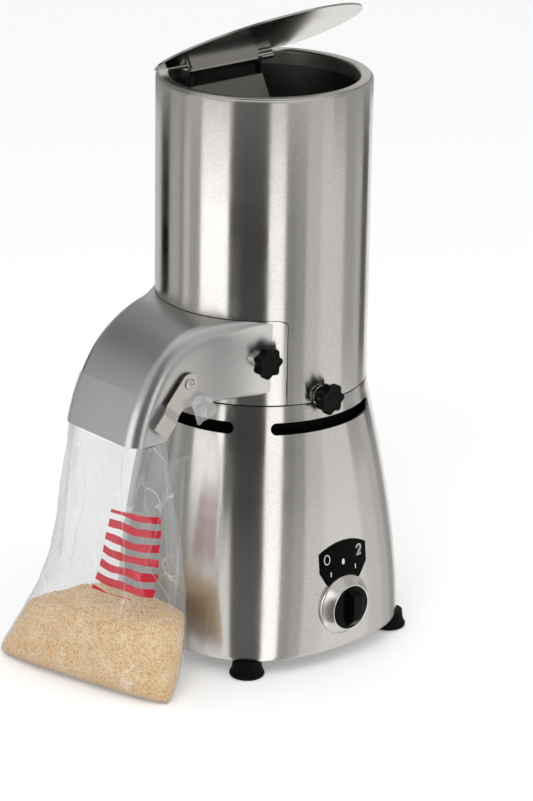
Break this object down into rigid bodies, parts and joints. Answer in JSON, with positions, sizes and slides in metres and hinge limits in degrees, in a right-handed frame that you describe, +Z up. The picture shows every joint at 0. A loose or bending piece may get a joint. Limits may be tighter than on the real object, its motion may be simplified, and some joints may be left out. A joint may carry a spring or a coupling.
{
  "type": "bread crumb machine",
  "caption": "Upright bread crumb mill: bell-shaped motor base with a switch, hopper tube with a hinged lid, and a curved outlet chute with a clipped bag.",
  "frame": {"origin": "on the ground under the axis of the hopper tube", "axes": "+Z up along the tube, -X towards the chute, -Y towards the switch"},
  "size_m": [0.4039, 0.3075, 0.6719],
  "materials": {
    "brushed_shell": "brushed across",
    "satin_ring": "satin",
    "mirror_lid": "polished",
    "polished_chute": "satin",
    "bright_steel": "polished",
    "inner_steel": "satin",
    "motor_paint": "satin",
    "copper_wire": "satin",
    "dark_sheet": "matte",
    "black_rubber": "matte",
    "black_plastic": "satin",
    "legend_black": "satin",
    "bezel_metal": "satin",
    "clip_steel": "satin",
    "can_metal": "satin",
    "block_plastic": "satin",
    "clear_film": "clear, glossy",
    "bread_crumbs": "dry, grainy"
  },
  "bodies": {
    "machine": {"base_shell": "brushed_shell", "hopper_tube": "brushed_shell", "door_panel": "brushed_shell", "top_ring": "satin_ring", "chute": "polished_chute", "hinge_rod": "bright_steel", "housing_washer": "bright_steel", "clip_screw_near": "bright_steel", "clip_screw_far": "bright_steel", "foot_bolts": "bright_steel", "motor_bolts": "bright_steel", "deck_plate": "inner_steel", "spigot_ring": "inner_steel", "rear_bridge": "inner_steel", "guard_plate": "inner_steel", "hopper_funnel": "inner_steel", "sieve": "inner_steel", "base_floor": "inner_steel", "door_bracket_near": "inner_steel", "door_bracket_far": "inner_steel", "bearing_upper": "inner_steel", "bearing_lower": "inner_steel", "motor_can": "motor_paint", "top_shield": "motor_paint", "bottom_shield": "motor_paint", "stator_core": "motor_paint", "fan_cowl": "motor_paint", "windings": "copper_wire", "vent_guard": "dark_sheet", "foot_1": "black_rubber", "foot_2": "black_rubber", "foot_3": "black_rubber", "foot_4": "black_rubber", "shaft_seal": "black_rubber", "switch_body": "black_plastic", "cable_gland": "black_plastic", "gland_nut": "black_plastic", "switch_plate": "legend_black", "switch_bezel": "bezel_metal", "capacitor": "can_metal", "capacitor_clip": "can_metal", "terminal_block": "block_plastic", "bag": "clear_film", "bag_collar": "clear_film", "crumbs": "bread_crumbs"},
    "rotor": {"motor_shaft": "inner_steel", "rotor_core": "motor_paint", "cooling_fan": "black_plastic", "rotor_disc": "inner_steel", "knife_hub": "inner_steel", "knife_bars": "inner_steel", "lock_nut": "bright_steel"},
    "lid": {"lid": "mirror_lid"},
    "switch_knob": {"switch_knob": "black_plastic"},
    "door_knob_near": {"door_knob_near": "black_plastic"},
    "door_knob_far": {"door_knob_far": "black_plastic"},
    "housing_knob": {"housing_knob": "black_plastic"},
    "bag_clip_near": {"bag_clip_near": "clip_steel"},
    "bag_clip_far": {"bag_clip_far": "clip_steel"}
  },
  "joints": [
    {"name": "rotor_spin", "type": "hinge", "parent": "machine", "child": "rotor", "pos_m": [0, 0, 0.277], "axis": [0, 0, 1], "continuous": true},
    {"name": "lid_hinge", "type": "hinge", "parent": "machine", "child": "lid", "pos_m": [0, 0.06, 0.586], "axis": [-1, 0, 0], "range_deg": [-28, 48]},
    {"name": "switch_turn", "type": "hinge", "parent": "machine", "child": "switch_knob", "pos_m": [-0.0017, -0.14, 0.064], "axis": [0, -1, 0], "range_deg": [-45, 45]},
    {"name": "door_knob_near_turn", "type": "hinge", "parent": "machine", "child": "door_knob_near", "pos_m": [-0.075, -0.09, 0.328], "axis": [0, -1, 0], "range_deg": [0, 720]},
    {"name": "door_knob_far_turn", "type": "hinge", "parent": "machine", "child": "door_knob_far", "pos_m": [-0.075, 0.09, 0.328], "axis": [0, 1, 0], "range_deg": [0, 720]},
    {"name": "housing_knob_turn", "type": "hinge", "parent": "machine", "child": "housing_knob", "pos_m": [-0.014, -0.115, 0.284], "axis": [0, -1, 0], "range_deg": [0, 720]},
    {"name": "bag_clip_near_swing", "type": "hinge", "parent": "machine", "child": "bag_clip_near", "pos_m": [-0.1456, -0.0613, 0.3124], "axis": [0, -1, 0], "range_deg": [-45, 20]},
    {"name": "bag_clip_far_swing", "type": "hinge", "parent": "machine", "child": "bag_clip_far", "pos_m": [-0.1456, 0.0613, 0.3124], "axis": [0, -1, 0], "range_deg": [-45, 20]}
  ]
}
